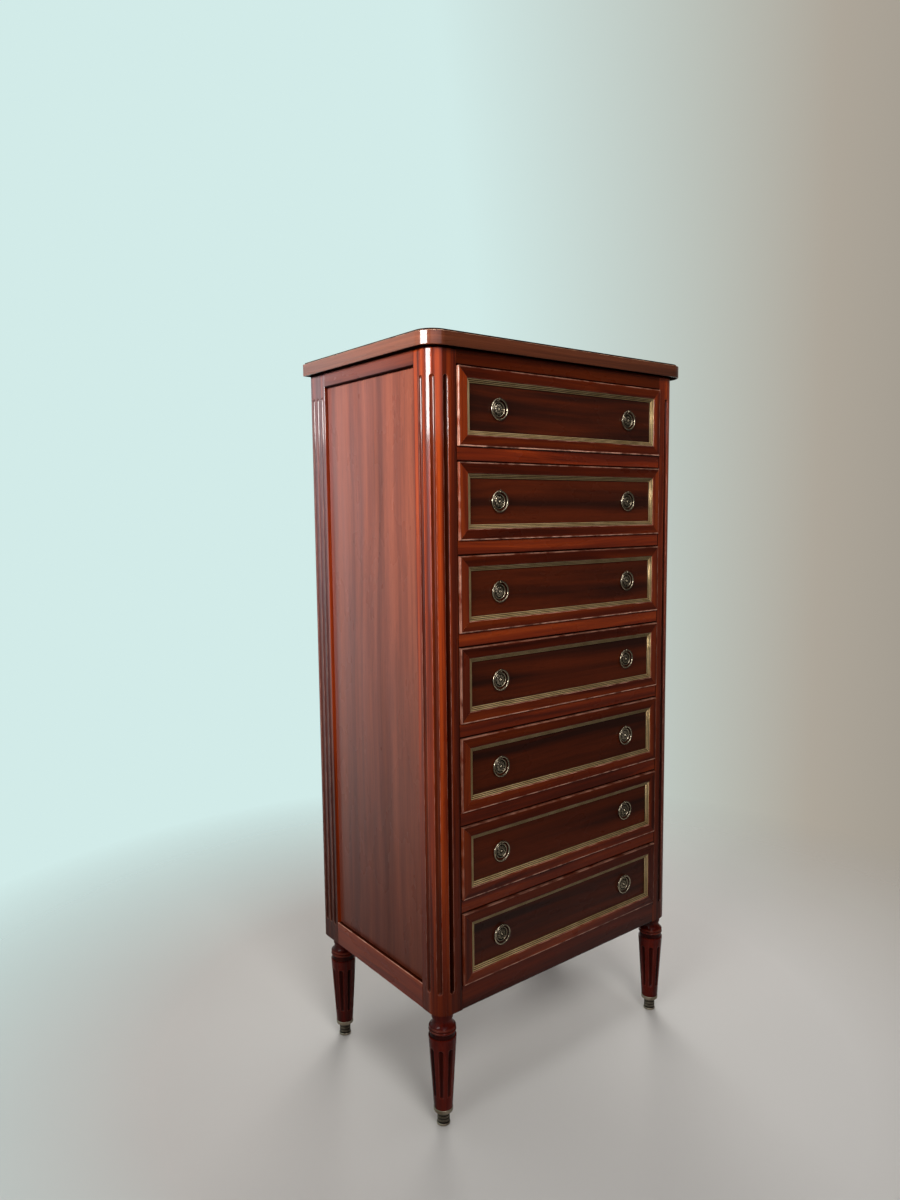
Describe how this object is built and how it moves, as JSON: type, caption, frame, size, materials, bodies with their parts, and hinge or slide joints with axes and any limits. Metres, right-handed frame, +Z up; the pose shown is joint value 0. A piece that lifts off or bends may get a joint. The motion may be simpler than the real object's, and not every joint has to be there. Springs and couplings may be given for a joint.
{
  "type": "semainier",
  "caption": "Tall narrow chest of equal drawers with fluted corner posts, reeded moulding round each drawer front, ring pulls, and turned fluted legs in metal caps.",
  "frame": {"origin": "on the floor under the middle of the piece, halfway across its overall width and depth", "axes": "+Z up; the drawers open towards -Y; +X is to the viewer's right when facing the drawers"},
  "size_m": [0.604, 0.375, 1.274],
  "materials": {
    "mahogany_top": "French-polished mahogany, glossy, straight grain from side to side",
    "mahogany_case": "French-polished mahogany, glossy, grain along each piece",
    "mahogany_panel": "French-polished ribbon-striped mahogany veneer, glossy, upright stripe",
    "mahogany_front": "French-polished dark mahogany, glossy, grain from side to side",
    "mahogany_leg": "French-polished turned mahogany, glossy, grain along the leg",
    "plain_wood": "plain unpolished secondary wood, matt",
    "back_board": "plain stained board, matt",
    "gilt_brass": "polished pale brass",
    "pull_brass": "worn antique brass, half gloss",
    "foot_brass": "aged brass with a dark patina in the hollows"
  },
  "bodies": {
    "carcass": {"top": "mahogany_top", "front_post_left": "mahogany_case", "rear_stile_left": "mahogany_case", "side_rails_left": "mahogany_case", "side_panel_left": "mahogany_panel", "front_post_right": "mahogany_case", "rear_stile_right": "mahogany_case", "side_rails_right": "mahogany_case", "side_panel_right": "mahogany_panel", "front_rails": "mahogany_case", "rear_rails": "mahogany_case", "back_panel": "back_board", "drawer_runners": "plain_wood", "leg_front_left": "mahogany_leg", "leg_front_right": "mahogany_leg", "leg_rear_left": "mahogany_leg", "leg_rear_right": "mahogany_leg", "foot_caps": "foot_brass"},
    "drawer_1": {"drawer_1_front": "mahogany_front", "drawer_1_moulding": "gilt_brass", "drawer_1_box": "plain_wood", "drawer_1_pull_plates": "pull_brass"},
    "ring_1_left": {"ring_1_left": "pull_brass"},
    "ring_1_right": {"ring_1_right": "pull_brass"},
    "drawer_2": {"drawer_2_front": "mahogany_front", "drawer_2_moulding": "gilt_brass", "drawer_2_box": "plain_wood", "drawer_2_pull_plates": "pull_brass"},
    "ring_2_left": {"ring_2_left": "pull_brass"},
    "ring_2_right": {"ring_2_right": "pull_brass"},
    "drawer_3": {"drawer_3_front": "mahogany_front", "drawer_3_moulding": "gilt_brass", "drawer_3_box": "plain_wood", "drawer_3_pull_plates": "pull_brass"},
    "ring_3_left": {"ring_3_left": "pull_brass"},
    "ring_3_right": {"ring_3_right": "pull_brass"},
    "drawer_4": {"drawer_4_front": "mahogany_front", "drawer_4_moulding": "gilt_brass", "drawer_4_box": "plain_wood", "drawer_4_pull_plates": "pull_brass"},
    "ring_4_left": {"ring_4_left": "pull_brass"},
    "ring_4_right": {"ring_4_right": "pull_brass"},
    "drawer_5": {"drawer_5_front": "mahogany_front", "drawer_5_moulding": "gilt_brass", "drawer_5_box": "plain_wood", "drawer_5_pull_plates": "pull_brass"},
    "ring_5_left": {"ring_5_left": "pull_brass"},
    "ring_5_right": {"ring_5_right": "pull_brass"},
    "drawer_6": {"drawer_6_front": "mahogany_front", "drawer_6_moulding": "gilt_brass", "drawer_6_box": "plain_wood", "drawer_6_pull_plates": "pull_brass"},
    "ring_6_left": {"ring_6_left": "pull_brass"},
    "ring_6_right": {"ring_6_right": "pull_brass"},
    "drawer_7": {"drawer_7_front": "mahogany_front", "drawer_7_moulding": "gilt_brass", "drawer_7_box": "plain_wood", "drawer_7_pull_plates": "pull_brass"},
    "ring_7_left": {"ring_7_left": "pull_brass"},
    "ring_7_right": {"ring_7_right": "pull_brass"}
  },
  "joints": [
    {"name": "drawer_1_slide", "type": "slide", "parent": "carcass", "child": "drawer_1", "axis": [0, -1, 0], "range_m": [0, 0.27]},
    {"name": "ring_1_left_swing", "type": "hinge", "parent": "drawer_1", "child": "ring_1_left", "pos_m": [-0.1535, -0.1767, 1.18085], "axis": [-1, 0, 0], "range_deg": [0, 165]},
    {"name": "ring_1_right_swing", "type": "hinge", "parent": "drawer_1", "child": "ring_1_right", "pos_m": [0.1535, -0.1767, 1.18085], "axis": [-1, 0, 0], "range_deg": [0, 165]},
    {"name": "drawer_2_slide", "type": "slide", "parent": "carcass", "child": "drawer_2", "axis": [0, -1, 0], "range_m": [0, 0.27]},
    {"name": "ring_2_left_swing", "type": "hinge", "parent": "drawer_2", "child": "ring_2_left", "pos_m": [-0.1535, -0.1767, 1.03665], "axis": [-1, 0, 0], "range_deg": [0, 165]},
    {"name": "ring_2_right_swing", "type": "hinge", "parent": "drawer_2", "child": "ring_2_right", "pos_m": [0.1535, -0.1767, 1.03665], "axis": [-1, 0, 0], "range_deg": [0, 165]},
    {"name": "drawer_3_slide", "type": "slide", "parent": "carcass", "child": "drawer_3", "axis": [0, -1, 0], "range_m": [0, 0.27]},
    {"name": "ring_3_left_swing", "type": "hinge", "parent": "drawer_3", "child": "ring_3_left", "pos_m": [-0.1535, -0.1767, 0.89245], "axis": [-1, 0, 0], "range_deg": [0, 165]},
    {"name": "ring_3_right_swing", "type": "hinge", "parent": "drawer_3", "child": "ring_3_right", "pos_m": [0.1535, -0.1767, 0.89245], "axis": [-1, 0, 0], "range_deg": [0, 165]},
    {"name": "drawer_4_slide", "type": "slide", "parent": "carcass", "child": "drawer_4", "axis": [0, -1, 0], "range_m": [0, 0.27]},
    {"name": "ring_4_left_swing", "type": "hinge", "parent": "drawer_4", "child": "ring_4_left", "pos_m": [-0.1535, -0.1767, 0.74825], "axis": [-1, 0, 0], "range_deg": [0, 165]},
    {"name": "ring_4_right_swing", "type": "hinge", "parent": "drawer_4", "child": "ring_4_right", "pos_m": [0.1535, -0.1767, 0.74825], "axis": [-1, 0, 0], "range_deg": [0, 165]},
    {"name": "drawer_5_slide", "type": "slide", "parent": "carcass", "child": "drawer_5", "axis": [0, -1, 0], "range_m": [0, 0.27]},
    {"name": "ring_5_left_swing", "type": "hinge", "parent": "drawer_5", "child": "ring_5_left", "pos_m": [-0.1535, -0.1767, 0.60405], "axis": [-1, 0, 0], "range_deg": [0, 165]},
    {"name": "ring_5_right_swing", "type": "hinge", "parent": "drawer_5", "child": "ring_5_right", "pos_m": [0.1535, -0.1767, 0.60405], "axis": [-1, 0, 0], "range_deg": [0, 165]},
    {"name": "drawer_6_slide", "type": "slide", "parent": "carcass", "child": "drawer_6", "axis": [0, -1, 0], "range_m": [0, 0.27]},
    {"name": "ring_6_left_swing", "type": "hinge", "parent": "drawer_6", "child": "ring_6_left", "pos_m": [-0.1535, -0.1767, 0.45985], "axis": [-1, 0, 0], "range_deg": [0, 165]},
    {"name": "ring_6_right_swing", "type": "hinge", "parent": "drawer_6", "child": "ring_6_right", "pos_m": [0.1535, -0.1767, 0.45985], "axis": [-1, 0, 0], "range_deg": [0, 165]},
    {"name": "drawer_7_slide", "type": "slide", "parent": "carcass", "child": "drawer_7", "axis": [0, -1, 0], "range_m": [0, 0.27]},
    {"name": "ring_7_left_swing", "type": "hinge", "parent": "drawer_7", "child": "ring_7_left", "pos_m": [-0.1535, -0.1767, 0.31565], "axis": [-1, 0, 0], "range_deg": [0, 165]},
    {"name": "ring_7_right_swing", "type": "hinge", "parent": "drawer_7", "child": "ring_7_right", "pos_m": [0.1535, -0.1767, 0.31565], "axis": [-1, 0, 0], "range_deg": [0, 165]}
  ]
}
